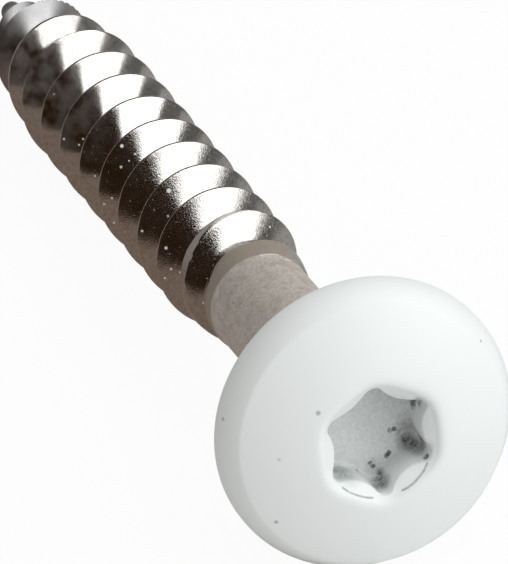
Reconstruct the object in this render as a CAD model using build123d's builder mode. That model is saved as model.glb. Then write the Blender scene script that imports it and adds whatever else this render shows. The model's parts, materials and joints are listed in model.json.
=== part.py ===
from build123d import *
from math import atan2, cos, floor, hypot, radians, sin, sqrt, tan
import os

# A star drive wood screw for facing panels: a low domed head with a six-lobe socket, a plain
# neck, a coarse right-hand thread and a gimlet point. Millimetres and degrees throughout.
#
# The screw is drawn upright first, on the Z axis: the bearing face of its head is at Z = 0,
# the head is above it and the point is below. It is then laid down as it comes to rest, on
# the rim of its head and on a late turn of its thread, with its point towards +X.

# ---------------------------------------------------------------------------------------
# Head
# ---------------------------------------------------------------------------------------
head_diameter = 9.6
head_height = 2.6  # from the bearing face to the crown of the dome
dome_diameter = 8.7  # where the dome turns down into the sloping side
dome_edge_height = 1.37
dome_edge_chamfer = 0.55
rim_top = 0.5  # the rim is the widest place of the head
rim_bottom = 0.35
bearing_diameter = 8.9
neck_flare = 0.3  # the neck widens by this into the bearing face

# Six-lobe socket, size 20
socket_points = 3.95  # across the lobes
socket_waist = 2.85  # across the ribs between the lobes
lobe_radius = 0.3
lobe_count = 6
socket_depth = 1.95  # from the crown to the edge of the floor
socket_floor_drop = 0.3  # the floor is a shallow cone
socket_floor_diameter = 2.5  # of that cone, and it ends in a small flat
socket_floor_flat = 0.3
socket_lead_diameter = 4.2  # the lobes open at 45 degrees into the dome, out to this
socket_lead_depth = 0.3
socket_angle = 5.0  # direction of one lobe

# ---------------------------------------------------------------------------------------
# Shank, with every depth measured down from the bearing face
# ---------------------------------------------------------------------------------------
shank_length = 35.0
neck_diameter = 3.3
thread_diameter = 4.28
core_diameter = 2.9
pitch = 1.965
crest_land = 0.1
flank_angle = 35.0  # of each flank, from square to the axis

flare_start = 9.1  # the neck begins to widen
flare_length = 3.2  # and takes this long to reach the thread's diameter
shoulder_length = 3.1  # steep end of the point, from its shoulder to the tip
point_taper_length = 4.4  # gentle taper of the thread's crest above that shoulder
shoulder_diameter = 3.24
core_taper_length = 6.0  # taper of the core, back from the tip
nub_diameter = 0.6  # blunt end of the point
nub_core_diameter = 0.5
nub_length = 0.5
nub_chamfer = 0.12

groove_lead = 0.06  # middle of the groove where it begins, this far above the flare
groove_end_length = 1.6  # and where it ends, back from the tip
groove_start_angle = -15.0
run_in_turns = 1.4  # the groove sinks to its full depth over this much of its start
groove_clearance = 0.04  # the groove's flanks run this far past the crest
groove_lid = 0.4  # and it is closed this far above the crest
stations_per_turn = 16

# ---------------------------------------------------------------------------------------
# Radii along the shank
# ---------------------------------------------------------------------------------------
crest_radius = thread_diameter / 2
core_radius = core_diameter / 2
neck_radius = neck_diameter / 2
nub_radius = nub_diameter / 2
nub_start = shank_length - nub_length
flare_end = flare_start + flare_length
shoulder_depth = shank_length - shoulder_length
point_start = shoulder_depth - point_taper_length
core_taper_start = shank_length - core_taper_length
groove_start = flare_start - groove_lead
groove_end = shank_length - groove_end_length


def taper(depth, first, last):
    """Radius at a depth on a straight taper between two (depth, radius) places."""
    share = min(max((depth - first[0]) / (last[0] - first[0]), 0.0), 1.0)
    return first[1] + share * (last[1] - first[1])


def crest_radius_at(depth):
    """Radius of the thread's crest, on its full turns and down the point."""
    shoulder = (shoulder_depth, shoulder_diameter / 2)
    if depth < shoulder_depth:
        return taper(depth, (point_start, crest_radius), shoulder)
    return taper(depth, shoulder, (nub_start, nub_radius))


def core_radius_at(depth):
    """Radius of the core between the turns."""
    return taper(depth, (core_taper_start, core_radius), (nub_start, nub_core_diameter / 2))


# ---------------------------------------------------------------------------------------
# The groove between the turns: the solids that cut it, one for each turn
# ---------------------------------------------------------------------------------------
groove_turns = (groove_end - groove_start) / pitch
flank_run = tan(radians(flank_angle))


def groove_corner(turn, level, side):
    """One corner of the groove's section, at its root, its lip or its lid above the lip."""
    middle = groove_start + pitch * turn
    groove_depth = crest_radius_at(middle) - core_radius_at(middle)
    below_crest = groove_depth if level == "root" else -groove_clearance
    depth = middle + side * ((pitch - crest_land) / 2 - below_crest * flank_run)
    radius = {
        "root": core_radius_at(depth),
        "lip": crest_radius_at(depth) + groove_clearance,
        "lid": crest_radius_at(depth) + groove_lid,
    }[level]
    radius += max(0.0, 1 - turn / run_in_turns) * (neck_radius - core_radius + groove_clearance)
    angle = radians(groove_start_angle - 360 * turn)
    return (radius * cos(angle), radius * sin(angle), -depth)


def groove_stretch(first_turn, last_turn):
    """The solid of the groove from one turn to another."""
    steps = round((last_turn - first_turn) * stations_per_turn)
    turns = [first_turn + (last_turn - first_turn) * step / steps for step in range(steps + 1)]
    section = [("lid", -1), ("lip", -1), ("root", -1), ("root", 1), ("lip", 1), ("lid", 1)]
    edges = []
    for level, side in section:
        with BuildLine() as corner_line:
            Spline([groove_corner(turn, level, side) for turn in turns])
        edges.append(corner_line.edge())
    pairs = zip(edges, edges[1:] + edges[:1])
    walls = [Face.make_surface_from_curves(first, second) for first, second in pairs]
    ends = [Face(Wire.make_polygon([edge @ place for edge in edges])) for place in (0, 1)]
    return Solid(Shell(walls + ends))


turn_marks = [*range(floor(groove_turns) + 1), groove_turns]
groove = [groove_stretch(first, last) for first, last in zip(turn_marks, turn_marks[1:])]

# ---------------------------------------------------------------------------------------
# Outline of the socket: a rib between two lobes is an arc tangent to both
# ---------------------------------------------------------------------------------------
lobe_centre = socket_points / 2 - lobe_radius
rib_angle = 180 / lobe_count
waist_radius = socket_waist / 2
lobe_reach = lobe_centre * cos(radians(rib_angle))
rib_radius = (lobe_centre**2 + waist_radius**2 - 2 * waist_radius * lobe_reach - lobe_radius**2) / (
    2 * (lobe_radius + lobe_reach - waist_radius)
)
rib_centre = waist_radius + rib_radius
meeting_share = lobe_radius / (lobe_radius + rib_radius)
meeting_radius = hypot(
    lobe_centre + meeting_share * (rib_centre * cos(radians(rib_angle)) - lobe_centre),
    meeting_share * rib_centre * sin(radians(rib_angle)),
)

# ---------------------------------------------------------------------------------------
# The screw, upright
# ---------------------------------------------------------------------------------------
dome_edge = (dome_diameter / 2, dome_edge_height)
dome_rise = head_height - dome_edge_height
dome_radius = (dome_edge[0] ** 2 + dome_rise**2) / (2 * dome_rise)

with BuildPart() as upright:
    with BuildSketch(Plane.XZ) as half_section:
        with BuildLine():
            RadiusArc((0, head_height), dome_edge, dome_radius)
            Polyline(
                dome_edge,
                (head_diameter / 2, rim_top),
                (head_diameter / 2, rim_bottom),
                (bearing_diameter / 2, 0),
                (neck_radius + neck_flare, 0),
                (neck_radius, -neck_flare),
                (neck_radius, -flare_start),
                (crest_radius, -flare_end),
                (crest_radius, -point_start),
                (shoulder_diameter / 2, -shoulder_depth),
                (nub_radius, -nub_start),
                (nub_radius, nub_chamfer - shank_length),
                (nub_radius - nub_chamfer, -shank_length),
                (0, -shank_length),
                (0, head_height),
            )
        make_face()
        chamfer(half_section.vertices().sort_by_distance(dome_edge)[0], dome_edge_chamfer)
        rim_corners = half_section.vertices().sort_by(Axis.X)[-2:]
    revolve(axis=Axis.Z)

    with BuildSketch(Plane.XY.offset(head_height)):
        Circle(meeting_radius)
        with PolarLocations(lobe_centre, lobe_count, start_angle=socket_angle):
            Circle(lobe_radius)
        with PolarLocations(rib_centre, lobe_count, start_angle=socket_angle + rib_angle):
            Circle(rib_radius, mode=Mode.SUBTRACT)
    extrude(amount=-socket_depth, mode=Mode.SUBTRACT)
    lead_radius = socket_lead_diameter / 2
    lead_height = head_height - dome_radius + sqrt(dome_radius**2 - lead_radius**2)
    with Locations((0, 0, lead_height)):
        Cone(
            lead_radius - socket_lead_depth,
            lead_radius + socket_lead_depth,
            2 * socket_lead_depth,
            mode=Mode.SUBTRACT,
        )
    with Locations((0, 0, head_height - socket_depth - socket_floor_drop / 2)):
        Cone(socket_floor_flat / 2, socket_floor_diameter / 2, socket_floor_drop, mode=Mode.SUBTRACT)

    add(groove, mode=Mode.SUBTRACT)

# ---------------------------------------------------------------------------------------
# The screw at rest: the ground runs from the rim to the crest that it meets first
# ---------------------------------------------------------------------------------------
ground_angle = 180.0  # side of the upright screw that comes to lie lowest
first_crest = groove_start + pitch * ((groove_start_angle - ground_angle) / 360 + 0.5)
ground_crests = [first_crest + pitch * turn for turn in range(floor(groove_turns) + 1)]
tilt = min(
    max(atan2(corner.X - crest_radius_at(depth), depth + corner.Y) for corner in rim_corners)
    for depth in ground_crests
    if depth > flare_end
)
lying = Plane(origin=(0, 0, 0), x_dir=(sin(tilt), 0, cos(tilt)), z_dir=(-cos(tilt), 0, sin(tilt)))

with BuildPart() as laid:
    with Locations(lying.location):
        add(upright.part)
laid_box = laid.part.bounding_box()

with BuildPart() as screw:
    with Locations((-laid_box.center().X, -laid_box.center().Y, -laid_box.min.Z)):
        add(laid.part)

os.makedirs("parts", exist_ok=True)
screw.part.label = "screw"
export_step(screw.part, "parts/screw.step")
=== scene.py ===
"""Star drive screw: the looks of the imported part, in its own frame.

The screw is drawn upright in millimetres, with the bearing face of its head at height 0, the
head above it and the point below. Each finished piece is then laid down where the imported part
lies, in metres.
"""

import json
import logging
import math
from dataclasses import dataclass, field
from enum import Enum

import bmesh
import bpy
from mathutils import Matrix, Vector

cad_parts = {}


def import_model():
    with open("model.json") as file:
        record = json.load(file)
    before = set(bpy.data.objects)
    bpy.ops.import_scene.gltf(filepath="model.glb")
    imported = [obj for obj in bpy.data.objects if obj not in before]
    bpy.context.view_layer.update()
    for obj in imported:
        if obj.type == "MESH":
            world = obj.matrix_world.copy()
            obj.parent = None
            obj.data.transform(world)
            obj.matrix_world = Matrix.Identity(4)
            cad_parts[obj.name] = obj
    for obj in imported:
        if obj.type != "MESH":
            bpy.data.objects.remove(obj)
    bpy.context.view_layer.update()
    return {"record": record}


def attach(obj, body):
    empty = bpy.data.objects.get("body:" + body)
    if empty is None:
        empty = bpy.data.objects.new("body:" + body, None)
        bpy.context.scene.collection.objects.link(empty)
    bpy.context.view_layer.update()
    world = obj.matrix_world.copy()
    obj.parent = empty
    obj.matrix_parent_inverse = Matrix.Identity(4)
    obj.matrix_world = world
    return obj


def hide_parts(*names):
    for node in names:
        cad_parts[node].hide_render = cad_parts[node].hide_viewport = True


LOG = logging.getLogger("star_drive_screw")
MILLIMETRE = 0.001
FULL_TURN = 2 * math.pi
ROUND_STEPS = 5  # faces across each rounded edge of the socket
SAME_PLACE = 1e-3  # millimetres within which a vertex counts as at a place
MERGE_REACH = 0.0005  # millimetres within which vertices are merged
WHITE = (1.0, 1.0, 1.0)

Colour = tuple[float, float, float]
Place = tuple[float, float, float]
Wire = bpy.types.NodeSocket


class Slot(Enum):
    """Material slots of the record that a piece can take."""

    STEEL = "steel"
    COAT = "coat"


class Sum(Enum):
    """Sums that a node can do on two numbers."""

    PLUS = "ADD"
    MINUS = "SUBTRACT"
    TIMES = "MULTIPLY"
    OVER = "DIVIDE"
    LEAST = "MINIMUM"
    MOST = "MAXIMUM"
    ANGLE = "ARCTAN2"


@dataclass(frozen=True)
class LyingPose:
    """Where the upright drawing comes to lie: its bearing face and the way to its point."""

    bearing_centre: Place
    towards_point: Place

    @classmethod
    def from_record(cls, record: dict) -> "LyingPose":
        """Read the pose from the bearing face that the record states.

        Args:
            record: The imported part's record.

        Returns:
            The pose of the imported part.
        """
        seat = next(mount for mount in record["mounts"] if mount["name"] == "bearing_face")
        return cls(tuple(seat["pos_m"]), tuple(seat["axis"]))

    def rotation(self) -> Matrix:
        """Return the turn from the drawing's axes to the scene's.

        Returns:
            The turn, which keeps the drawing's second axis level.
        """
        head_way = -Vector(self.towards_point).normalized()
        side_way = Vector((0.0, 1.0, 0.0))
        up_way = side_way.cross(head_way).normalized()
        return Matrix((up_way, side_way, head_way)).transposed()

    def matrix(self) -> Matrix:
        """Return the change from drawing millimetres to scene metres."""
        shift = Matrix.Translation(Vector(self.bearing_centre))
        return shift @ self.rotation().to_4x4() @ Matrix.Scale(MILLIMETRE, 4)


# ---------------------------------------------------------------------------------------
# Marks, patches and fades, in the drawing's millimetres
# ---------------------------------------------------------------------------------------
@dataclass(frozen=True)
class Mark:
    """A small round mark on a surface, placed in the upright drawing."""

    centre: Place
    radius: float
    strength: float = 1.0
    softness: float = 0.6


@dataclass(frozen=True)
class Trail:
    """A thin line on a surface, made of marks that follow one another."""

    corners: tuple[Place, ...]
    radius: float
    strength: float
    step: float = 0.07

    def marks(self) -> list[Mark]:
        """Return the marks of the line.

        Returns:
            The marks, no more than a step apart.
        """
        marks = []
        for first, last in zip(self.corners, self.corners[1:]):
            start, way = Vector(first), Vector(last) - Vector(first)
            count = math.ceil(way.length / self.step)
            for index in range(count):
                marks.append(Mark(tuple(start + way * (index / count)), self.radius, self.strength))
        return marks


@dataclass(frozen=True)
class Patches:
    """Ragged patches: noise of a size, and the step that makes a mask of it."""

    size: float
    detail: float
    rough: float
    low: float
    high: float
    least: float = 0.0
    most: float = 1.0


@dataclass(frozen=True)
class Fade:
    """A value that changes smoothly between two depths below the bearing face."""

    start: float
    end: float
    first: float
    last: float


# ---------------------------------------------------------------------------------------
# Wiring
# ---------------------------------------------------------------------------------------
class Wiring:
    """The nodes of a material or of the world, joined one after another."""

    def __init__(self, owner: bpy.types.Material | bpy.types.World) -> None:
        """Start with no nodes.

        Args:
            owner: The material or the world.
        """
        owner.use_nodes = True
        self.owner = owner
        self.tree = owner.node_tree
        self.tree.nodes.clear()

    def add(self, kind: str, inputs: dict | None = None, **settings: object) -> bpy.types.Node:
        """Add one node.

        Args:
            kind: Type name of the node.
            inputs: Value, colour or wire for each named or numbered input.
            settings: Attributes of the node.

        Returns:
            The new node.
        """
        node = self.tree.nodes.new(kind)
        for name, value in settings.items():
            setattr(node, name, value)
        for key, value in (inputs or {}).items():
            if isinstance(value, Wire):
                self.tree.links.new(value, node.inputs[key])
            elif node.inputs[key].type == "RGBA":
                node.inputs[key].default_value = (*value, 1.0)
            else:
                node.inputs[key].default_value = value
        return node

    def sum_up(self, operation: Sum, first: object, *others: object) -> Wire:
        """Return the result of a sum.

        Args:
            operation: The sum that is done.
            first: Number or wire that it starts with.
            others: Numbers or wires that it takes in, one after another.

        Returns:
            The wire of the result.
        """
        total = first
        for other in others:
            total = self.add("ShaderNodeMath", {0: total, 1: other}, operation=operation.value).outputs[0]
        return total

    def ramp(self, value: Wire, low: float, high: float, start: float = 0.0, end: float = 1.0) -> Wire:
        """Return a smooth step of a value.

        Args:
            value: Wire that is read.
            low: Value at which the step starts.
            high: Value at which it ends.
            start: Result below the step.
            end: Result above the step.

        Returns:
            The wire of the result.
        """
        inputs = {"Value": value, "From Min": low, "From Max": high, "To Min": start, "To Max": end}
        node = self.add("ShaderNodeMapRange", inputs, interpolation_type="SMOOTHSTEP")
        return node.outputs["Result"]

    def blend(self, share: Wire, first: object, second: object) -> Wire:
        """Return a mix of two colours, with a share of the second."""
        return self.add("ShaderNodeMix", {0: share, 6: first, 7: second}, data_type="RGBA").outputs[2]

    def between(self, share: Wire, first: object, second: object) -> Wire:
        """Return a number between two others, with a share of the second."""
        return self.add("ShaderNodeMix", {0: share, 2: first, 3: second}, data_type="FLOAT").outputs[0]

    def shows(self) -> Wire:
        """Return 1 on rays that show a thing, straight or in metal and glass, and 0 on rays that light it."""
        path = self.add("ShaderNodeLightPath").outputs
        return self.sum_up(Sum.MOST, *(path[f"Is {ray} Ray"] for ray in ("Camera", "Glossy", "Transmission")))

    def finish(
        self, shader: Wire, output: str = "ShaderNodeOutputMaterial"
    ) -> bpy.types.Material | bpy.types.World:
        """Join the shader to the output, and return the material or the world."""
        self.add(output, {"Surface": shader})
        return self.owner


class FinishWiring(Wiring):
    """The nodes of a finish, which reads where in the upright drawing each point lies."""

    def __init__(self, name: str, pose: LyingPose) -> None:
        """Start the material with the place and the depth of each point, in millimetres.

        Args:
            name: Name of the material.
            pose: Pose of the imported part.
        """
        super().__init__(bpy.data.materials.new(name))
        inputs = {
            "Vector": self.add("ShaderNodeTexCoord").outputs["Object"],
            "Location": pose.bearing_centre,
            "Rotation": pose.rotation().to_euler(),
            "Scale": (MILLIMETRE,) * 3,
        }
        self.place = self.add("ShaderNodeMapping", inputs, vector_type="TEXTURE").outputs["Vector"]
        self.across, self.along, height = self.add("ShaderNodeSeparateXYZ", {0: self.place}).outputs
        self.depth = self.sum_up(Sum.TIMES, height, -1.0)

    def grain(self, size: float, detail: float, rough: float = 0.5) -> Wire:
        """Return noise whose patches are of a given size in millimetres."""
        inputs = {"Vector": self.place, "Scale": 1 / size, "Detail": detail, "Roughness": rough}
        return self.add("ShaderNodeTexNoise", inputs).outputs["Fac"]

    def patches(self, patches: Patches) -> Wire:
        """Return a mask of ragged patches."""
        noise = self.grain(patches.size, patches.detail, patches.rough)
        return self.ramp(noise, patches.low, patches.high, patches.least, patches.most)

    def fade(self, fade: Fade) -> Wire:
        """Return a value that changes with the depth."""
        return self.ramp(self.depth, fade.start, fade.end, fade.first, fade.last)

    def spots(self, marks: list[Mark]) -> Wire:
        """Return a mask of round marks.

        Args:
            marks: The marks.

        Returns:
            The wire of the mask, which has each mark's strength inside the mark.
        """
        total: object = 0.0
        for mark in marks:
            away = self.add("ShaderNodeVectorMath", {0: self.place, 1: mark.centre}, operation="DISTANCE")
            firm = mark.radius * (1 - mark.softness)
            inside = self.ramp(away.outputs["Value"], firm, mark.radius, mark.strength, 0.0)
            total = self.sum_up(Sum.MOST, total, inside)
        return total

    def turn_share(self, start: float) -> Wire:
        """Return how far a place has turned with the thread.

        Args:
            start: Angle at which the turn begins.

        Returns:
            The wire of the share of a turn, from 0 to 1, which grows as the thread goes down.
        """
        angle = self.sum_up(Sum.ANGLE, self.along, self.across)
        turned = self.sum_up(Sum.OVER, self.sum_up(Sum.MINUS, start, angle), FULL_TURN)
        whole_turns = 2.0  # keeps the share above 0 before its whole turns are taken off
        turned = self.sum_up(Sum.PLUS, turned, whole_turns)
        return self.add("ShaderNodeMath", {0: turned}, operation="FRACT").outputs[0]

    def bump(self, height: Wire, strength: float, depth: float) -> Wire:
        """Return the normal of a surface with a relief, whose depth is in millimetres."""
        inputs = {"Height": height, "Strength": strength, "Distance": depth * MILLIMETRE}
        return self.add("ShaderNodeBump", inputs).outputs["Normal"]

    def coat(self, inputs: dict) -> bpy.types.Material:
        """Return the material, with the inputs of its one shader."""
        return self.finish(self.add("ShaderNodeBsdfPrincipled", inputs).outputs["BSDF"])


# ---------------------------------------------------------------------------------------
# Finishes
# ---------------------------------------------------------------------------------------
@dataclass(frozen=True)
class WhiteCoat:
    """The white coat of the head, worn and dirty in the socket, where painted shade darkens it."""

    colour: Colour = (0.83, 0.86, 0.85)
    # Dark colour of both the dirt and the painted shade in the socket.
    dirt_and_shade_colour: Colour = (0.045, 0.045, 0.042)
    roughness: float = 0.46
    peel_size: float = 0.9
    peel_strength: float = 0.05
    peel_depth: float = 0.1
    ragged: Patches = Patches(0.10, 4.0, 0.75, 0.3, 0.7, 0.5, 1.2)
    most_dirt_and_shade: float = 0.95
    # Round dark marks in the socket: small spots of dirt, and broad soft marks of painted shade.
    dirt_and_shade: tuple[Mark, ...] = (
        Mark((0.63, -1.50, 0.98), 0.44, 1.0, 0.9),
        Mark((0.80, -1.62, 1.45), 0.34, 0.9, 1.0),
        Mark((0.45, -1.62, 1.05), 0.40, 0.5, 1.0),
        Mark((1.15, -1.32, 2.05), 0.34, 0.75, 1.0),
        Mark((1.03, -1.50, 2.08), 0.28, 0.45, 1.0),
        Mark((-0.45, -1.12, 0.65), 0.42, 0.6, 1.0),
        Mark((-0.75, -1.31, 0.65), 0.58, 0.95, 1.0),
        Mark((-0.95, -1.53, 0.74), 0.60, 0.95, 1.0),
        Mark((-0.70, -1.66, 1.15), 0.72, 0.85, 1.0),
        Mark((-0.43, -1.60, 2.00), 0.34, 0.35, 1.0),
        Mark((-0.24, -1.35, 0.75), 0.85, 0.6, 1.0),
        Mark((0.12, -1.20, 0.75), 0.70, 0.4, 1.0),
        Mark((-0.33, -0.95, 0.61), 0.12),
        Mark((-0.36, -0.83, 0.58), 0.14, 0.7),
        Mark((-0.92, -1.61, 1.84), 0.20),
        Mark((-1.32, -0.13, 0.65), 0.13, 0.8),
        Mark((-1.44, -0.22, 0.65), 0.13, 0.9),
        Mark((-1.46, 0.34, 0.77), 0.12, 0.6),
        Mark((0.44, 0.35, 0.50), 0.12, 0.3),
        Mark((-0.23, 0.43, 0.48), 0.14, 0.2),
        # Two broad soft marks over the whole socket and its floor: painted shade.
        Mark((0.60, -0.70, 1.00), 2.2, 0.36, 1.0),
        Mark((0.0, 0.0, 0.60), 1.95, 0.24, 0.3),
        Mark((-1.06, -0.75, 0.65), 0.11),
        Mark((-1.12, -0.70, 0.65), 0.11),
        Mark((-1.17, -0.65, 0.66), 0.11),
        Mark((-1.65, -0.43, 0.78), 0.34, 0.9, 1.0),
        Mark((-1.79, -0.35, 0.99), 0.50, 0.95, 1.0),
        Mark((-1.84, -0.30, 1.35), 0.62, 0.95, 1.0),
        Mark((-1.79, -0.04, 1.44), 0.45, 0.7, 1.0),
        Mark((-1.85, 0.01, 1.77), 0.22, 0.8, 1.0),
        Mark((-1.35, -0.25, 0.70), 0.70, 0.4, 1.0),
        # Two broad soft marks on a lobe's wall: painted shade.
        Mark((-1.19, 1.04, 1.15), 0.80, 0.7, 1.0),
        Mark((-1.19, 1.05, 1.56), 0.75, 0.6, 1.0),
        Mark((1.35, 2.00, 2.24), 0.10, 0.55),
        Mark((-2.36, 3.24, 1.57), 0.09, 0.5),
        Mark((2.47, -3.60, 1.35), 0.07, 0.6),
        Mark((0.96, 4.57, 0.72), 0.08, 0.5),
        Mark((-0.13, 3.21, 1.95), 0.08, 0.3),
    )
    # Thin dark lines along the edge of the socket's mouth: painted shade of the small step there.
    mouth_shade_lines: tuple[Trail, ...] = (
        Trail(
            (
                (-0.97, -1.49, 2.12),
                (-1.13, -1.39, 2.16),
                (-1.31, -1.22, 2.20),
                (-1.48, -1.02, 2.23),
                (-1.62, -0.82, 2.22),
                (-1.71, -0.60, 2.18),
            ),
            radius=0.055,
            strength=0.6,
        ),
        Trail(
            (
                (-1.31, 1.25, 2.16),
                (-1.48, 1.05, 2.21),
                (-1.61, 0.80, 2.23),
                (-1.72, 0.54, 2.22),
                (-1.80, 0.27, 2.18),
            ),
            radius=0.055,
            strength=0.6,
        ),
    )

    def material(self, pose: LyingPose) -> bpy.types.Material:
        """Build the material.

        Args:
            pose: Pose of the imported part.

        Returns:
            The material.
        """
        wiring = FinishWiring("white_coat", pose)
        lines = [mark for shade_line in self.mouth_shade_lines for mark in shade_line.marks()]
        # Mask of the dirt and of the painted shade in the socket and along its mouth.
        ragged = wiring.sum_up(Sum.TIMES, wiring.spots([*self.dirt_and_shade, *lines]), wiring.patches(self.ragged))
        dirt_and_shade_share = wiring.sum_up(Sum.LEAST, ragged, self.most_dirt_and_shade)
        peel = wiring.grain(self.peel_size, 1.0)
        return wiring.coat(
            {
                "Base Color": wiring.blend(dirt_and_shade_share, self.colour, self.dirt_and_shade_colour),
                "Normal": wiring.bump(peel, self.peel_strength, self.peel_depth),
                "Roughness": self.roughness,
            }
        )


@dataclass(frozen=True)
class RolledSteel:
    """Bright rolled stainless steel on the thread, and the dull misted steel of the neck."""

    bright_colour: Colour = (0.62, 0.60, 0.58)
    bright_roughness: Fade = Fade(18.0, 29.0, 0.09, 0.15)
    point_roughness: Fade = Fade(29.5, 32.5, 0.0, 0.27)
    point_colour: Colour = (0.31, 0.31, 0.315)
    point_fade: Fade = Fade(29.2, 30.6, 0.0, 0.8)
    film_colour: Colour = (0.15, 0.105, 0.075)
    film: Patches = Patches(0.55, 2.0, 0.5, 0.30, 0.75)
    film_fade: Fade = Fade(19.0, 28.0, 0.02, 0.26)
    stain_colour: Colour = (0.34, 0.285, 0.235)
    stain: Patches = Patches(0.13, 4.0, 0.8, 0.42, 0.62, 0.0, 0.42)
    grain_size: float = 0.04
    grain_strength: float = 0.30
    grain_depth: float = 0.02
    grain_fade: Fade = Fade(15.0, 24.0, 1.0, 0.15)
    grain_roughness: Patches = Patches(0.035, 1.0, 0.5, 0.46, 0.60, 0.0, 0.128)

    dull_colour: Colour = (0.66, 0.59, 0.53)
    dull_roughness: float = 0.50
    dull_metal: float = 0.15
    pale_colour: Colour = (0.66, 0.625, 0.585)
    pale: Patches = Patches(0.5, 4.0, 0.75, 0.35, 0.65)
    mottle_colour: Colour = (0.32, 0.265, 0.215)
    mottle: Patches = Patches(0.07, 3.0, 0.75, 0.38, 0.66, 0.0, 0.52)
    blotch_colour: Colour = (0.36, 0.305, 0.25)
    blotches: Patches = Patches(0.42, 5.0, 0.72, 0.44, 0.66, 0.0, 0.50)
    # Darker band at the neck's end, where the thread starts: painted shade.
    rim_shade_colour: Colour = (0.30, 0.25, 0.20)
    rim_shade_fade: Fade = Fade(9.30, 9.40, 0.0, 0.85)

    dull_from: float = 9.36
    dull_climb: float = 1.95
    dull_least: float = 9.62
    dull_start_angle: float = math.radians(-42.0)
    dull_soft: tuple[float, float] = (-0.08, 0.02)
    ragged_size: float = 0.25
    ragged_reach: float = 0.12
    land_past: float = 0.82
    land_width: float = 0.25
    land_share: float = 0.72
    land_starts: tuple[float, float] = (0.64, 0.72)
    land_narrows: tuple[float, float] = (0.72, 0.90)
    land_soft: float = 0.05
    land_lip: float = 0.02

    # Pale colour of the overspray specks, the sparkle and the painted highlights where the groove starts.
    speck_and_highlight_colour: Colour = (0.82, 0.82, 0.80)
    sparkle: Patches = Patches(0.10, 1.0, 0.5, 0.70, 0.76)
    sparkle_fade: Fade = Fade(15.0, 24.0, 0.35, 0.08)
    overspray: tuple[Mark, ...] = (
        Mark((1.58, 1.25, -19.44), 0.08),
        Mark((1.00, 1.39, -19.16), 0.06),
        Mark((1.35, 0.90, -19.20), 0.05),
        Mark((1.17, 1.12, -19.15), 0.04),
        Mark((1.59, 1.00, -15.46), 0.10),
        Mark((0.47, 1.99, -23.18), 0.05),
        Mark((0.32, 1.59, -22.89), 0.05),
        Mark((0.51, 1.46, -22.87), 0.05),
        Mark((0.05, 1.71, -20.93), 0.05),
        Mark((-0.15, 2.00, -19.12), 0.05),
        Mark((0.06, 1.77, -19.01), 0.05),
        Mark((-0.77, 1.75, -18.96), 0.06),
        Mark((0.44, 1.97, -15.30), 0.06),
        Mark((0.91, 1.18, -15.07), 0.05),
        Mark((0.63, 1.83, -13.31), 0.07),
        Mark((-0.01, 1.76, -13.09), 0.06),
        Mark((-0.09, 1.53, -12.91), 0.05),
        Mark((-0.32, 1.94, -13.18), 0.05),
        Mark((1.15, 1.64, -25.23), 0.05, 0.4),
        Mark((1.43, -1.13, -11.88), 0.05),
        Mark((-0.30, 1.46, -10.82), 0.05),
    )
    # Two thin pale lines at the edge where the groove starts: painted highlights.
    groove_highlights: tuple[Trail, ...] = (
        Trail(((1.68, 0.02, -9.31), (1.65, -0.29, -9.33), (1.56, -0.62, -9.37)), radius=0.05, strength=0.8),
        Trail(((1.47, -0.76, -9.16), (1.34, -0.97, -9.23)), radius=0.05, strength=0.8),
    )

    def past_neck(self, wiring: FinishWiring) -> Wire:
        """Return how far a place lies past the dull neck's ragged edge, which climbs with the thread.

        Args:
            wiring: Nodes of the material.

        Returns:
            The wire of the distance, in millimetres.
        """
        climb = wiring.sum_up(Sum.TIMES, wiring.turn_share(self.dull_start_angle), self.dull_climb)
        edge = wiring.sum_up(Sum.MOST, wiring.sum_up(Sum.PLUS, climb, self.dull_from), self.dull_least)
        ragged = wiring.sum_up(Sum.TIMES, wiring.grain(self.ragged_size, 2.0), self.ragged_reach)
        return wiring.sum_up(Sum.MINUS, wiring.depth, edge, ragged)

    def run_in_land(self, wiring: FinishWiring, past: Wire) -> Wire:
        """Return the share of the dull crescent that the first turn leaves unrolled.

        Args:
            wiring: Nodes of the material.
            past: Wire of the distance past the dull neck.

        Returns:
            The wire of the share.
        """
        turned = wiring.turn_share(self.dull_start_angle)
        width = wiring.ramp(turned, *self.land_narrows, self.land_width, 0.0)
        inside = wiring.sum_up(Sum.MINUS, wiring.sum_up(Sum.PLUS, past, width), self.land_past)
        begun = wiring.ramp(inside, 0.0, self.land_soft)
        lip = self.land_past + self.land_lip
        ended = wiring.ramp(past, lip, lip + self.land_soft, 1.0, 0.0)
        return wiring.sum_up(Sum.TIMES, begun, wiring.ramp(turned, *self.land_starts), ended, self.land_share)

    def dull_tone(self, wiring: FinishWiring) -> Wire:
        """Return the colour of the misted neck, with painted shade darkening its end.

        Args:
            wiring: Nodes of the material.

        Returns:
            The wire of the colour.
        """
        tone = wiring.blend(wiring.patches(self.pale), self.dull_colour, self.pale_colour)
        tone = wiring.blend(wiring.patches(self.mottle), tone, self.mottle_colour)
        tone = wiring.blend(wiring.patches(self.blotches), tone, self.blotch_colour)
        return wiring.blend(wiring.fade(self.rim_shade_fade), tone, self.rim_shade_colour)

    def bright_tone(self, wiring: FinishWiring, film: Wire) -> Wire:
        """Return the colour of the rolled thread, greyer at the point.

        Args:
            wiring: Nodes of the material.
            film: Wire of the share of grimy film.

        Returns:
            The wire of the colour.
        """
        tone = wiring.blend(film, self.bright_colour, self.film_colour)
        tone = wiring.blend(wiring.patches(self.stain), tone, self.stain_colour)
        return wiring.blend(wiring.fade(self.point_fade), tone, self.point_colour)

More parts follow.
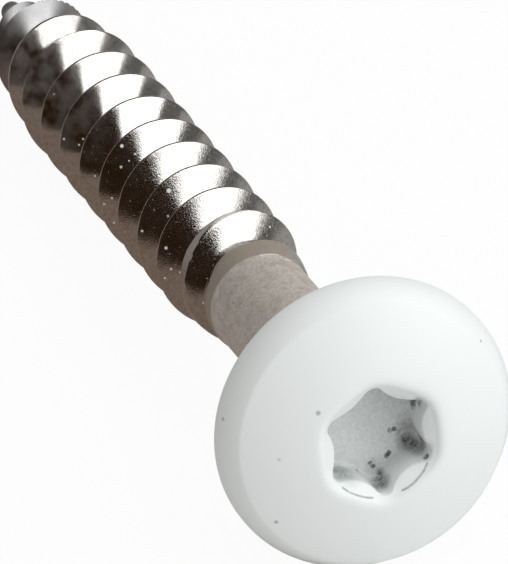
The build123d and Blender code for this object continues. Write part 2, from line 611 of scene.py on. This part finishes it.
    def specks_and_highlights(self, wiring: FinishWiring) -> Wire:
        """Return the share of pale marks: specks of the coat's overspray, sparkle, and painted highlights at
        the edge where the groove starts.

        Args:
            wiring: Nodes of the material.

        Returns:
            The wire of the share.
        """
        painted_highlights = [mark for streak in self.groove_highlights for mark in streak.marks()]
        sparkle = wiring.sum_up(Sum.TIMES, wiring.patches(self.sparkle), wiring.fade(self.sparkle_fade))
        return wiring.sum_up(Sum.MOST, wiring.spots([*self.overspray, *painted_highlights]), sparkle)

    def material(self, pose: LyingPose) -> bpy.types.Material:
        """Build the material.

        Args:
            pose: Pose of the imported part.

        Returns:
            The material.
        """
        wiring = FinishWiring("rolled_steel", pose)
        past = self.past_neck(wiring)
        bright = wiring.ramp(past, *self.dull_soft)
        bright = wiring.sum_up(Sum.MINUS, bright, self.run_in_land(wiring, past))
        film = wiring.sum_up(Sum.TIMES, wiring.patches(self.film), wiring.fade(self.film_fade), bright)
        specks_and_highlights = self.specks_and_highlights(wiring)
        tone = wiring.blend(bright, self.dull_tone(wiring), self.bright_tone(wiring, film))
        metal = wiring.sum_up(Sum.MINUS, wiring.ramp(bright, 0.0, 1.0, self.dull_metal, 1.0), film, specks_and_highlights)
        near = wiring.fade(self.grain_fade)
        grainy = wiring.sum_up(Sum.TIMES, wiring.patches(self.grain_roughness), near)
        rough = wiring.sum_up(
            Sum.PLUS, wiring.fade(self.bright_roughness), wiring.fade(self.point_roughness), grainy
        )
        relief = wiring.sum_up(Sum.TIMES, wiring.grain(self.grain_size, 1.0, 0.6), near)
        return wiring.coat(
            {
                "Base Color": wiring.blend(specks_and_highlights, tone, self.speck_and_highlight_colour),
                "Metallic": metal,
                "Roughness": wiring.between(bright, self.dull_roughness, rough),
                "Normal": wiring.bump(relief, self.grain_strength, self.grain_depth),
            }
        )


# ---------------------------------------------------------------------------------------
# Modelling by hand
# ---------------------------------------------------------------------------------------
class Bench:
    """Steps that every piece goes through on the bench."""

    @staticmethod
    def start() -> None:
        """Leave nothing selected, so that the next operator acts on the new piece alone."""
        bpy.ops.object.select_all(action="DESELECT")

    @staticmethod
    def piece(name: str) -> bpy.types.Object:
        """Name the piece that is being made.

        Args:
            name: Name of the piece and of its mesh.

        Returns:
            The piece.
        """
        piece = bpy.context.object
        piece.name = piece.data.name = name
        return piece

    @staticmethod
    def extrude_ring(scale: float, rise: float) -> None:
        """Extrude the selected ring of edges.

        Args:
            scale: Radius of the new ring over the radius of the old one.
            rise: Height of the new ring above the old one.
        """
        bpy.ops.mesh.extrude_edges_move(TRANSFORM_OT_translate={"value": (0.0, 0.0, rise)})
        bpy.ops.transform.resize(value=(scale, scale, 1.0), center_override=(0.0, 0.0, 0.0))

    @staticmethod
    def apply_modifiers(piece: bpy.types.Object) -> None:
        """Apply every modifier of a piece."""
        for modifier in list(piece.modifiers):
            bpy.ops.object.modifier_apply(modifier=modifier.name)

    @staticmethod
    def close_normals() -> None:
        """Merge doubles and turn all faces outwards, in edit mode."""
        bpy.ops.mesh.select_all(action="SELECT")
        bpy.ops.mesh.remove_doubles(threshold=MERGE_REACH)
        bpy.ops.mesh.normals_make_consistent(inside=False)

    @staticmethod
    def lay_down(piece: bpy.types.Object, pose: LyingPose, smooth_angle: float) -> None:
        """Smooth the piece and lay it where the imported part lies.

        Args:
            piece: The finished piece, drawn upright.
            pose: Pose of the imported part.
            smooth_angle: Edges sharper than this stay crisp.
        """
        bpy.ops.object.shade_smooth_by_angle(angle=smooth_angle)
        piece.data.transform(pose.matrix())
        piece.data.update()


@dataclass(frozen=True)
class SixLobes:
    """Outline of the six-lobe socket: lobes joined by ribs that are tangent to them."""

    across_points: float = 3.62
    across_waist: float = 2.85
    lobe_radius: float = 0.30
    lobes: int = 6
    turned: float = math.radians(5.0)

    @property
    def lobe_centre(self) -> float:
        """Return the distance of a lobe's centre from the axis."""
        return self.across_points / 2 - self.lobe_radius

    @property
    def half_step(self) -> float:
        """Return the angle from a lobe to the next rib."""
        return math.pi / self.lobes

    @property
    def rib_radius(self) -> float:
        """Return the radius of a rib.

        Returns:
            The radius at which the rib's arc meets both lobes in tangency.
        """
        waist = self.across_waist / 2
        reach = self.lobe_centre * math.cos(self.half_step)
        spread = self.lobe_centre**2 + waist**2 - 2 * waist * reach - self.lobe_radius**2
        return spread / (2 * (self.lobe_radius + reach - waist))

    @property
    def rib_centre(self) -> float:
        """Return the distance of a rib's centre from the axis."""
        return self.across_waist / 2 + self.rib_radius

    @property
    def meeting(self) -> float:
        """Return the angle from a lobe's middle to where its arc meets the rib's.

        Returns:
            The angle.
        """
        share = self.lobe_radius / (self.lobe_radius + self.rib_radius)
        return math.atan2(
            share * self.rib_centre * math.sin(self.half_step),
            self.lobe_centre * (1 - share) + share * self.rib_centre * math.cos(self.half_step),
        )

    def point(self, angle: float, offset: float) -> Vector:
        """Return a point of the outline, moved outwards into the metal.

        Args:
            angle: Direction from the axis.
            offset: Distance that the point is moved square to the outline.

        Returns:
            The point, at height 0.
        """
        step = 2 * self.half_step
        near_lobe = self.turned + step * round((angle - self.turned) / step)
        away = angle - near_lobe
        on_lobe = abs(away) < self.meeting
        way = near_lobe if on_lobe else near_lobe + math.copysign(self.half_step, away)
        distance, radius, side = (
            (self.lobe_centre, self.lobe_radius, 1.0) if on_lobe else (self.rib_centre, self.rib_radius, -1.0)
        )
        sag = radius**2 - (distance * math.sin(angle - way)) ** 2
        reach = distance * math.cos(angle - way) + side * math.sqrt(sag)
        ray = Vector((math.cos(angle), math.sin(angle), 0.0))
        centre = Vector((math.cos(way), math.sin(way), 0.0)) * distance
        outwards = (ray * reach - centre).normalized() * side
        return ray * reach + outwards * offset


class Shape(Enum):
    """What a ring of the head's mesh is pressed to."""

    ROUND = "round"
    WALL = "wall"
    LEAD = "lead"
    MOUTH = "mouth"


@dataclass(frozen=True)
class Ring:
    """One ring of the head's mesh, round at first.

    A ring of a wall is pressed to the socket's outline, moved outwards by its offset. A ring of
    the lead lies between that outline and the mouth, by its share, less its drop. A ring of the
    mouth is pressed to the mouth's outline, moved outwards, and lies on the dome less its drop.
    """

    radius: float
    height: float
    shape: Shape = Shape.ROUND
    offset: float = 0.0
    share: float = 0.0
    drop: float = 0.0


@dataclass
class CoatedHead:
    """The low domed head with its six-lobe socket, under its white coat."""

    rim_diameter: float = 9.52
    rim_top: float = 0.55
    rim_bottom: float = 0.32
    rim_soft: float = 0.12
    bearing_diameter: float = 8.7
    bearing_soft: float = 0.08
    height: float = 2.6
    dome_diameter: float = 8.7
    dome_edge_height: float = 1.37
    dome_edge_soft: float = 0.42
    dome_rings: int = 20
    socket: SixLobes = field(default_factory=SixLobes)
    socket_depth: float = 1.95
    floor_drop: float = 0.30
    floor_diameter: float = 2.3
    floor_soft: float = 0.14
    floor_rings: tuple[float, ...] = (0.15, 0.4, 0.7, 1.0)
    wall_rings: tuple[float, ...] = (0.2, 0.4, 0.6)
    rib_soft: float = 0.05
    lead_slope: float = math.tan(math.radians(38.0))
    lead_rings: tuple[float, ...] = (0.2, 0.4, 0.6, 0.8)
    mouth_radius: float = 1.88
    mouth_flat: float = 0.10
    mouth_sunk: float = 0.20
    dome_start: float = 0.46
    stations: int = 216
    smooth_angle: float = math.radians(40.0)

    # How far outside the mouth's edge each ring of its soft lip lies, and the share of the sink
    # that is left there.
    mouth_lip: tuple[tuple[float, float], ...] = (
        (0.0, 1.0),
        (0.03, 0.78),
        (0.07, 0.54),
        (0.12, 0.33),
        (0.19, 0.15),
        (0.28, 0.04),
        (0.38, 0.0),
    )

    @property
    def dome_radius(self) -> float:
        """Return the radius of the dome's sphere."""
        rise = self.height - self.dome_edge_height
        return ((self.dome_diameter / 2) ** 2 + rise**2) / (2 * rise)

    def dome_height(self, radius: float) -> float:
        """Return the height of the dome at a distance from the axis."""
        return self.height - self.dome_radius + math.sqrt(self.dome_radius**2 - radius**2)

    def mouth_reach(self, angle: float) -> float:
        """Return the radius of the mouth in a direction, less over the ribs than at the lobes."""
        wave = math.cos(self.socket.lobes * (angle - self.socket.turned))
        return self.mouth_radius - self.mouth_flat * (1 - wave) / 2

    def lead_height(self, radius: float, mouth: float) -> float:
        """Return the height of the sloping lead around the socket, towards a mouth of a radius."""
        return self.dome_height(mouth) - self.mouth_sunk - (mouth - radius) * self.lead_slope

    @staticmethod
    def quarter_round() -> list[tuple[float, float]]:
        """Return the run and the remaining rise of a unit fillet, over its quarter turn."""
        turns = [math.pi / 2 * step / ROUND_STEPS for step in range(ROUND_STEPS + 1)]
        return [(1 - math.cos(turn), 1 - math.sin(turn)) for turn in turns]

    def socket_rings(self) -> list[Ring]:
        """Return the rings of the socket's floor and walls.

        Returns:
            The rings, from the middle of the floor up to the lead.
        """
        floor = self.height - self.socket_depth
        inner, soft = self.socket.lobe_centre, self.floor_soft
        rings = [
            Ring(share * self.floor_diameter / 2, floor - self.floor_drop * (1 - share))
            for share in self.floor_rings
        ]
        rings += [
            Ring(inner, floor + soft * run, Shape.WALL, -soft * left) for run, left in self.quarter_round()
        ]
        foot, top = floor + soft, self.lead_height(inner, self.mouth_radius)
        rings += [Ring(inner, foot + (top - foot) * share, Shape.WALL) for share in self.wall_rings]
        for run, left in self.quarter_round():
            out, drop = self.rib_soft * run, self.rib_soft * left
            rings.append(Ring(inner + out, top - drop, Shape.LEAD, out, 0.0, drop))
        return rings

    def mouth_rings(self) -> list[Ring]:
        """Return the rings of the lead and of the soft lip around the socket's mouth.

        Returns:
            The rings, from the socket's edge out to the dome.
        """
        mouth = self.mouth_radius
        edge = self.socket.lobe_centre + self.rib_soft
        rings = []
        for share in self.lead_rings:
            radius = edge + (mouth - edge) * share
            rings.append(Ring(radius, self.lead_height(radius, mouth), Shape.LEAD, self.rib_soft, share))
        for out, sunk in self.mouth_lip:
            radius, drop = mouth + out, self.mouth_sunk * sunk
            rings.append(Ring(radius, self.dome_height(radius) - drop, Shape.MOUTH, out, 0.0, drop))
        return rings

    def outer_rings(self) -> list[Ring]:
        """Return the rings of the dome, the rim and the underside.

        Returns:
            The rings, from the mouth out to the edge and in again below.
        """
        first, last = self.mouth_radius + self.dome_start, self.dome_diameter / 2
        radii = [first + (last - first) * step / self.dome_rings for step in range(self.dome_rings + 1)]
        return [Ring(radius, self.dome_height(radius)) for radius in radii] + [
            Ring(self.rim_diameter / 2, self.rim_top),
            Ring(self.rim_diameter / 2, self.rim_bottom),
            Ring(self.bearing_diameter / 2, 0.0),
            Ring(self.bearing_diameter / 4, 0.0),
        ]

    def pressed(self, ring: Ring, angle: float, height: float) -> Vector:
        """Return where a place of a ring comes to lie when the ring is pressed to its shape.

        Args:
            ring: The ring, of a wall, a lead or a mouth.
            angle: Direction of the place from the axis.
            height: Height of the place.

        Returns:
            The new place.
        """
        ray = Vector((math.cos(angle), math.sin(angle), 0.0))
        mouth = self.mouth_reach(angle)
        if ring.shape is Shape.MOUTH:
            target = ray * (mouth + ring.offset)
            target.z = self.dome_height(mouth + ring.offset) - ring.drop
            return target
        target = self.socket.point(angle, ring.offset)
        target.z = height
        if ring.shape is Shape.LEAD:
            target = target.lerp(ray * mouth, ring.share)
            target.z = self.lead_height(math.hypot(target.x, target.y), mouth) - ring.drop
        return target

    def press_socket(self, rings: list[Ring]) -> None:
        """Press the round rings of the socket to their shapes, in edit mode.

        Args:
            rings: The rings that the mesh was made of, from the inside out.
        """
        mesh = bmesh.from_edit_mesh(bpy.context.object.data)
        mesh.verts.ensure_lookup_table()
        for vertex in mesh.verts:
            ring = rings[vertex.index // self.stations]
            if ring.shape is not Shape.ROUND:
                angle = math.atan2(vertex.co.y, vertex.co.x)
                vertex.co = self.pressed(ring, angle, vertex.co.z)
        bmesh.update_edit_mesh(bpy.context.object.data)

    @staticmethod
    def soften(radius: float, height: float, size: float, segments: int) -> None:
        """Bevel the round edge at a place of the head, in edit mode.

        Args:
            radius: Radius of the edge.
            height: Height of the edge.
            size: Size of the bevel.
            segments: Number of faces across the bevel.
        """
        bpy.ops.mesh.select_all(action="DESELECT")
        mesh = bmesh.from_edit_mesh(bpy.context.object.data)
        for edge in mesh.edges:
            ends = [(math.hypot(end.co.x, end.co.y) - radius, end.co.z - height) for end in edge.verts]
            edge.select_set(all(abs(away) < SAME_PLACE for end in ends for away in end))
        mesh.select_flush_mode()
        bmesh.update_edit_mesh(bpy.context.object.data)
        bpy.ops.mesh.bevel(offset=size, segments=segments, profile=0.5, affect="EDGES")

    def build(self, pose: LyingPose) -> bpy.types.Object:
        """Model the head.

        Args:
            pose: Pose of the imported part.

        Returns:
            The head, lying in its place.
        """
        Bench.start()
        rings = self.socket_rings() + self.mouth_rings() + self.outer_rings()
        first = rings[0]
        bpy.ops.mesh.primitive_circle_add(
            vertices=self.stations, radius=first.radius, location=(0.0, 0.0, 0.0), enter_editmode=True
        )
        head = Bench.piece("coated_head")
        bpy.ops.transform.translate(value=(0.0, 0.0, first.height))
        for inner, outer in zip(rings, rings[1:]):
            Bench.extrude_ring(outer.radius / inner.radius, outer.height - inner.height)
        self.press_socket(rings)
        bpy.ops.mesh.select_all(action="DESELECT")
        bpy.ops.mesh.select_non_manifold()
        bpy.ops.mesh.edge_face_add()
        bpy.ops.mesh.select_all(action="DESELECT")
        bpy.ops.mesh.select_non_manifold()
        bpy.ops.mesh.fill_holes(sides=0)
        rim = self.rim_diameter / 2
        self.soften(self.dome_diameter / 2, self.dome_edge_height, self.dome_edge_soft, segments=8)
        self.soften(rim, self.rim_top, self.rim_soft, segments=5)
        self.soften(rim, self.rim_bottom, self.rim_soft, segments=5)
        self.soften(self.bearing_diameter / 2, 0.0, self.bearing_soft, segments=3)
        Bench.close_normals()
        bpy.ops.object.mode_set(mode="OBJECT")
        Bench.lay_down(head, pose, self.smooth_angle)
        return head


@dataclass
class ThreadedShank:
    """The neck, the coarse right-hand thread and the gimlet point, as one rolled piece."""

    length: float = 35.0
    buried: float = 0.2
    neck_radius: float = 1.65
    neck_flare: float = 0.3
    flare_start: float = 9.1
    flare: tuple[tuple[float, float], ...] = ((10.3, 1.82), (11.45, 1.93), (12.0, 2.14))
    pitch: float = 1.965
    crest_radius: float = 2.14
    crest_land: float = 0.1
    core_radius: float = 1.33
    core_taper_start: float = 29.0
    flank_run: float = math.tan(math.radians(35.0))
    flank_hollow: float = 0.27
    edge_soft: float = 0.02
    root_soft: float = 0.05
    point_start: float = 27.5
    shoulder_depth: float = 31.9
    shoulder_radius: float = 1.62
    nub_radius: float = 0.34
    nub_core_radius: float = 0.25
    nub_length: float = 0.42
    nub_soft: float = 0.14
    groove_start: float = 9.04
    groove_end: float = 33.4
    groove_start_angle: float = math.radians(-15.0)
    run_in_turns: float = 0.75
    run_in_clearance: float = 0.04
    clear_radius: float = 10.0
    steps_per_turn: int = 120
    root_rows: tuple[float, ...] = (0.35, 0.65, 0.87)
    flank_rows: tuple[float, ...] = (0.0, 0.08, 0.18, 0.3, 0.42, 0.55, 0.68, 0.8, 0.9, 0.96)
    smooth_angle: float = math.radians(38.0)

    @property
    def nub_start(self) -> float:
        """Return the depth at which the blunt nub begins."""
        return self.length - self.nub_length

    @property
    def lip(self) -> float:
        """Return the distance from a groove's middle to its lip."""
        return (self.pitch - self.crest_land) / 2

    @staticmethod
    def taper(depth: float, first: tuple[float, float], last: tuple[float, float]) -> float:
        """Return the radius at a depth on a straight taper between two places."""
        share = min(max((depth - first[0]) / (last[0] - first[0]), 0.0), 1.0)
        return first[1] + share * (last[1] - first[1])

    def crest(self, depth: float) -> float:
        """Return the radius of the thread's crest, on its full turns and down the point.

        Args:
            depth: Depth below the bearing face.

        Returns:
            The radius.
        """
        shoulder = (self.shoulder_depth, self.shoulder_radius)
        if depth < self.shoulder_depth:
            return self.taper(depth, (self.point_start, self.crest_radius), shoulder)
        return self.taper(depth, shoulder, (self.nub_start, self.nub_radius))

    def core(self, depth: float) -> float:
        """Return the radius of the core between the turns."""
        tip = (self.nub_start, self.nub_core_radius)
        return self.taper(depth, (self.core_taper_start, self.core_radius), tip)

    def blank(self, depth: float) -> float:
        """Return the radius of the blank that the groove is rolled into.

        Args:
            depth: Depth below the bearing face.

        Returns:
            The radius.
        """
        if depth < self.flare_start:
            return self.neck_radius + min(self.neck_flare, max(0.0, self.neck_flare - depth))
        first = (self.flare_start, self.neck_radius)
        for last in self.flare:
            if depth < last[0]:
                return self.taper(depth, first, last)
            first = last
        left = max(0.0, depth - (self.length - self.nub_soft)) / self.nub_soft
        return self.crest(depth) - self.nub_soft * (1 - math.sqrt(max(0.0, 1 - min(left, 1.0) ** 2)))

    def groove(self, depth: float, angle: float) -> float:
        """Return the radius down to which the groove is rolled.

        Args:
            depth: Depth below the bearing face.
            angle: Direction from the axis.

        Returns:
            The radius, or one that clears the blank where there is no groove.
        """
        phase = (self.groove_start_angle - angle) / FULL_TURN
        turn = phase + round((depth - self.groove_start) / self.pitch - phase)
        last_turn = (self.groove_end - self.groove_start) / self.pitch
        if turn < 0.0 or turn > last_turn:
            return self.clear_radius
        middle = self.groove_start + self.pitch * turn
        full_depth = self.crest(middle) - self.core(middle)
        flank = full_depth * self.flank_run
        away = abs(depth - middle) - (self.lip - flank)
        eased = (away + math.sqrt(away**2 + self.root_soft**2)) / 2 / flank
        climb = eased * (1 - self.flank_hollow) + eased**2 * self.flank_hollow
        run_in = max(0.0, 1 - turn / self.run_in_turns)
        lift = run_in * (self.neck_radius - self.core_radius + self.run_in_clearance)
        return self.core(depth) + lift + full_depth * climb

    def radius(self, depth: float, angle: float) -> float:
        """Return the finished radius of the shank at a place.

        Args:
            depth: Depth below the bearing face.
            angle: Direction from the axis.

        Returns:
            The lesser of the blank's and the groove's, with the edge between them rounded.
        """
        blank, groove = self.blank(depth), self.groove(depth, angle)
        spread = math.sqrt((blank - groove) ** 2 + self.edge_soft**2)
        return (blank + groove - spread) / 2

    def rows(self) -> list[float]:
        """Return the axial places of the profile's rows across one pitch.

        Returns:
            The places, from one crest's middle to the next, closer together on the flanks.
        """
        root_half = self.lip - (self.crest_radius - self.core_radius) * self.flank_run
        half = [0.0] + [root_half * share for share in self.root_rows]
        half += [root_half + (self.lip - root_half) * share for share in self.flank_rows]
        half += [self.lip, (self.lip + self.pitch / 2) / 2]
        return [-self.pitch / 2] + [-place for place in reversed(half[1:])] + half + [self.pitch / 2]

    def screw_profile(self) -> bpy.types.Object:
        """Screw the rows of the profile up from below the point, as a plain threaded rod.

        Returns:
            The rod, in object mode.
        """
        phase = self.groove_start_angle / FULL_TURN
        turns_below = math.ceil((self.length - self.groove_start) / self.pitch) + 1
        lowest_middle = self.groove_start + self.pitch * (turns_below + phase)
        rows = self.rows()
        bpy.ops.mesh.primitive_plane_add(size=0.1, location=(0.0, 0.0, 0.0), enter_editmode=True)
        rod = Bench.piece("threaded_shank")
        bpy.ops.mesh.merge(type="CENTER")
        bpy.ops.transform.translate(value=(1.0, 0.0, -lowest_middle + rows[0]))
        for lower, upper in zip(rows, rows[1:]):
            bpy.ops.mesh.extrude_vertices_move(TRANSFORM_OT_translate={"value": (0.0, 0.0, upper - lower)})
        bpy.ops.object.mode_set(mode="OBJECT")
        screw = rod.modifiers.new("thread", "SCREW")
        screw.axis = "Z"
        screw.angle = FULL_TURN
        screw.screw_offset = self.pitch
        screw.iterations = math.ceil((lowest_middle + self.buried) / self.pitch) + 1
        screw.steps = screw.render_steps = self.steps_per_turn
        screw.use_merge_vertices = False
        Bench.apply_modifiers(rod)
        return rod

    def build(self, pose: LyingPose) -> bpy.types.Object:
        """Model the shank: a rod of rows that follow the thread, cut to length and shaped.

        Args:
            pose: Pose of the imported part.

        Returns:
            The shank, lying in its place.
        """
        Bench.start()
        shank = self.screw_profile()
        bpy.ops.object.mode_set(mode="EDIT")
        bpy.ops.mesh.select_all(action="SELECT")
        bpy.ops.mesh.remove_doubles(threshold=MERGE_REACH)
        for height, way in ((self.buried, 1.0), (-self.length, -1.0)):
            bpy.ops.mesh.select_all(action="SELECT")
            bpy.ops.mesh.bisect(
                plane_co=(0.0, 0.0, height), plane_no=(0.0, 0.0, way), clear_outer=True, use_fill=True
            )
        mesh = bmesh.from_edit_mesh(shank.data)
        for vertex in mesh.verts:
            angle = math.atan2(vertex.co.y, vertex.co.x)
            radius = self.radius(-vertex.co.z, angle)
            vertex.co.x, vertex.co.y = radius * math.cos(angle), radius * math.sin(angle)
        bmesh.update_edit_mesh(shank.data)
        Bench.close_normals()
        bpy.ops.object.mode_set(mode="OBJECT")
        Bench.lay_down(shank, pose, self.smooth_angle)
        return shank


# ---------------------------------------------------------------------------------------
# Studio
# ---------------------------------------------------------------------------------------
@dataclass(frozen=True)
class Panel:
    """A soft rectangular lamp, slightly cool."""

    name: str
    centre: Place
    towards: Place
    along: Place
    length: float
    width: float
    watts: float
    colour: Colour = (0.97, 0.995, 1.0)
    mirrored: bool = True

    def place(self) -> None:
        """Put the lamp in the scene, shining towards one way, with its length along another."""
        back = -Vector(self.towards).normalized()
        side = back.cross(Vector(self.along)).normalized()
        along = back.cross(side).normalized()
        lamp = bpy.data.lights.new(self.name, "AREA")
        lamp.shape = "RECTANGLE"
        lamp.size, lamp.size_y = self.length, self.width
        lamp.energy = self.watts
        lamp.color = self.colour
        holder = bpy.data.objects.new(self.name, lamp)
        holder.visible_glossy = self.mirrored
        bpy.context.scene.collection.objects.link(holder)
        turn = Matrix((along, back.cross(along), back)).transposed().to_4x4()
        holder.matrix_world = Matrix.Translation(Vector(self.centre)) @ turn


@dataclass(frozen=True)
class Flag:
    """A card beside the screw that only its polished metal mirrors."""

    name: str
    corners: tuple[Place, Place, Place, Place]
    tone: Colour

    def place(self) -> None:
        """Stand the card up."""
        Bench.start()
        bpy.ops.mesh.primitive_plane_add(size=1.0, location=(0.0, 0.0, 0.0))
        card = Bench.piece(self.name)
        for vertex, corner in zip(card.data.vertices, self.corners):
            vertex.co = Vector(corner)
        wiring = Wiring(bpy.data.materials.new(self.name))
        glow = wiring.add("ShaderNodeEmission", {"Color": self.tone, "Strength": 1.0})
        card.data.materials.append(wiring.finish(glow.outputs["Emission"]))
        card.visible_camera = card.visible_diffuse = False
        card.visible_shadow = card.visible_transmission = False


@dataclass
class Studio:
    """Pale floor, soft lamps, cards, white surroundings and the camera."""

    panels: tuple[Panel, ...]
    flags: tuple[Flag, ...]
    floor_size: float = 3.0
    floor_cuts: int = 4
    floor_colour: Colour = (0.86, 0.86, 0.86)
    floor_glow: float = 0.95
    sky_strength: float = 0.40
    sky_colour: Colour = (1.0, 0.97, 0.95)
    camera_azimuth: float = math.radians(-18.395)
    camera_elevation: float = math.radians(28.510)
    camera_distance: float = 0.720
    camera_target: Place = (-0.013290, 0.002410, 0.008367)
    camera_reach: tuple[float, float] = (0.01, 10.0)
    focal_length: float = 1497.6
    film_width: float = 36.0

    def lay_floor(self) -> None:
        """Lay the pale floor, nearly white to the camera and with the screw's shadow on it."""
        Bench.start()
        bpy.ops.mesh.primitive_plane_add(size=self.floor_size, location=(0.0, 0.0, 0.0), enter_editmode=True)
        floor = Bench.piece("floor")
        bpy.ops.mesh.subdivide(number_cuts=self.floor_cuts)
        bpy.ops.object.mode_set(mode="OBJECT")
        wiring = Wiring(bpy.data.materials.new("pale_floor"))
        paper = wiring.add("ShaderNodeBsdfDiffuse", {"Color": self.floor_colour})
        glow = wiring.add("ShaderNodeEmission", {"Color": WHITE, "Strength": 1.0})
        share = wiring.sum_up(Sum.TIMES, wiring.shows(), self.floor_glow)
        mixed = wiring.add("ShaderNodeMixShader", {0: share, 1: paper.outputs[0], 2: glow.outputs[0]})
        floor.data.materials.append(wiring.finish(mixed.outputs[0]))

    def light_world(self) -> None:
        """Surround the scene with soft light that shows as white."""
        world = bpy.data.worlds.new("studio")
        bpy.context.scene.world = world
        wiring = Wiring(world)
        soft = wiring.add("ShaderNodeBackground", {"Color": self.sky_colour, "Strength": self.sky_strength})
        white = wiring.add("ShaderNodeBackground", {"Color": WHITE, "Strength": 1.0})
        inputs = {0: wiring.shows(), 1: soft.outputs[0], 2: white.outputs[0]}
        wiring.finish(wiring.add("ShaderNodeMixShader", inputs).outputs[0], "ShaderNodeOutputWorld")

    def set_camera(self) -> None:
        """Set up the camera, which looks past the head along the screw."""
        level = math.cos(self.camera_elevation)
        ahead = (math.cos(self.camera_azimuth), math.sin(self.camera_azimuth))
        forward = Vector((level * ahead[0], level * ahead[1], -math.sin(self.camera_elevation)))
        lens = bpy.data.cameras.new("camera")
        lens.lens = self.focal_length
        lens.sensor_width = self.film_width
        lens.clip_start, lens.clip_end = self.camera_reach
        camera = bpy.data.objects.new("camera", lens)
        bpy.context.scene.collection.objects.link(camera)
        camera.location = Vector(self.camera_target) - forward * self.camera_distance
        camera.rotation_mode = "QUATERNION"
        camera.rotation_quaternion = forward.to_track_quat("-Z", "Y")
        bpy.context.scene.camera = camera

    def set_up(self) -> None:
        """Set up the whole studio."""
        self.lay_floor()
        self.light_world()
        for item in (*self.panels, *self.flags):
            item.place()
        self.set_camera()
        bpy.context.scene.view_settings.view_transform = "Standard"


DARK_ROOM = (0.026, 0.0125, 0.005)
SOFT_PANELS = (
    Panel(
        "ceiling_panel",
        centre=(-0.278, -0.288, 0.277),
        towards=(-0.1253, 0.2204, -0.9673),
        along=(-0.798, -0.601, -0.034),
        length=0.75,
        width=0.39,
        watts=1.50,
    ),
    Panel(
        "fill_panel",
        centre=(-0.36, -0.17, 0.16),
        towards=(0.85, 0.40, -0.36),
        along=(-0.42, 0.90, 0.0),
        length=0.4,
        width=0.3,
        watts=0.46,
        mirrored=False,
    ),
)
FLAGS = (
    Flag(
        "front_flag",
        ((-0.145, -0.222, -0.280), (-0.704, 0.537, -0.614), (-0.710, 0.395, 2.070), (-1.269, 1.155, 1.737)),
        DARK_ROOM,
    ),
    Flag(
        "far_flag",
        ((0.35, -0.30, 0.004), (0.35, 0.60, 0.004), (0.35, -0.30, 0.45), (0.35, 0.60, 0.45)),
        (0.10, 0.09, 0.08),
    ),
    Flag(
        "left_flag",
        ((-0.60, 0.16, 0.0), (0.25, 0.16, 0.0), (-0.60, 0.16, 0.60), (0.25, 0.16, 0.60)),
        DARK_ROOM,
    ),
    Flag(
        "left_floor_flag",
        ((-0.4, 0.0, 0.0002), (0.2, 0.0, 0.0002), (-0.4, 0.16, 0.0002), (0.2, 0.16, 0.0002)),
        (0.24, 0.18, 0.145),
    ),
    Flag(
        "right_flag",
        ((-0.184, -0.15, 0.0), (0.3, -0.15, 0.0), (-0.184, -0.15, 0.0001), (0.3, -0.15, 0.27)),
        (0.14, 0.14, 0.135),
    ),
    Flag(
        "right_floor_flag",
        ((-0.2, -0.15, 0.0002), (0.3, -0.15, 0.0002), (-0.2, 0.0, 0.0002), (0.3, 0.0, 0.0002)),
        (0.42, 0.42, 0.41),
    ),
)


def main() -> None:
    """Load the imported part, dress it and set up the studio."""
    logging.basicConfig(level=logging.INFO, format="%(name)s: %(message)s")
    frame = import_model()
    pose = LyingPose.from_record(frame["record"])
    head = CoatedHead().build(pose)
    head.data.materials.append(WhiteCoat().material(pose))
    shank = ThreadedShank().build(pose)
    shank.data.materials.append(RolledSteel().material(pose))
    for piece, slot in ((head, Slot.COAT), (shank, Slot.STEEL)):
        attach(piece, "root")
        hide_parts("screw")
        LOG.info("%s: %d faces", piece.name, len(piece.data.polygons))
    Studio(panels=SOFT_PANELS, flags=FLAGS).set_up()


if __name__ == "__main__":
    main()
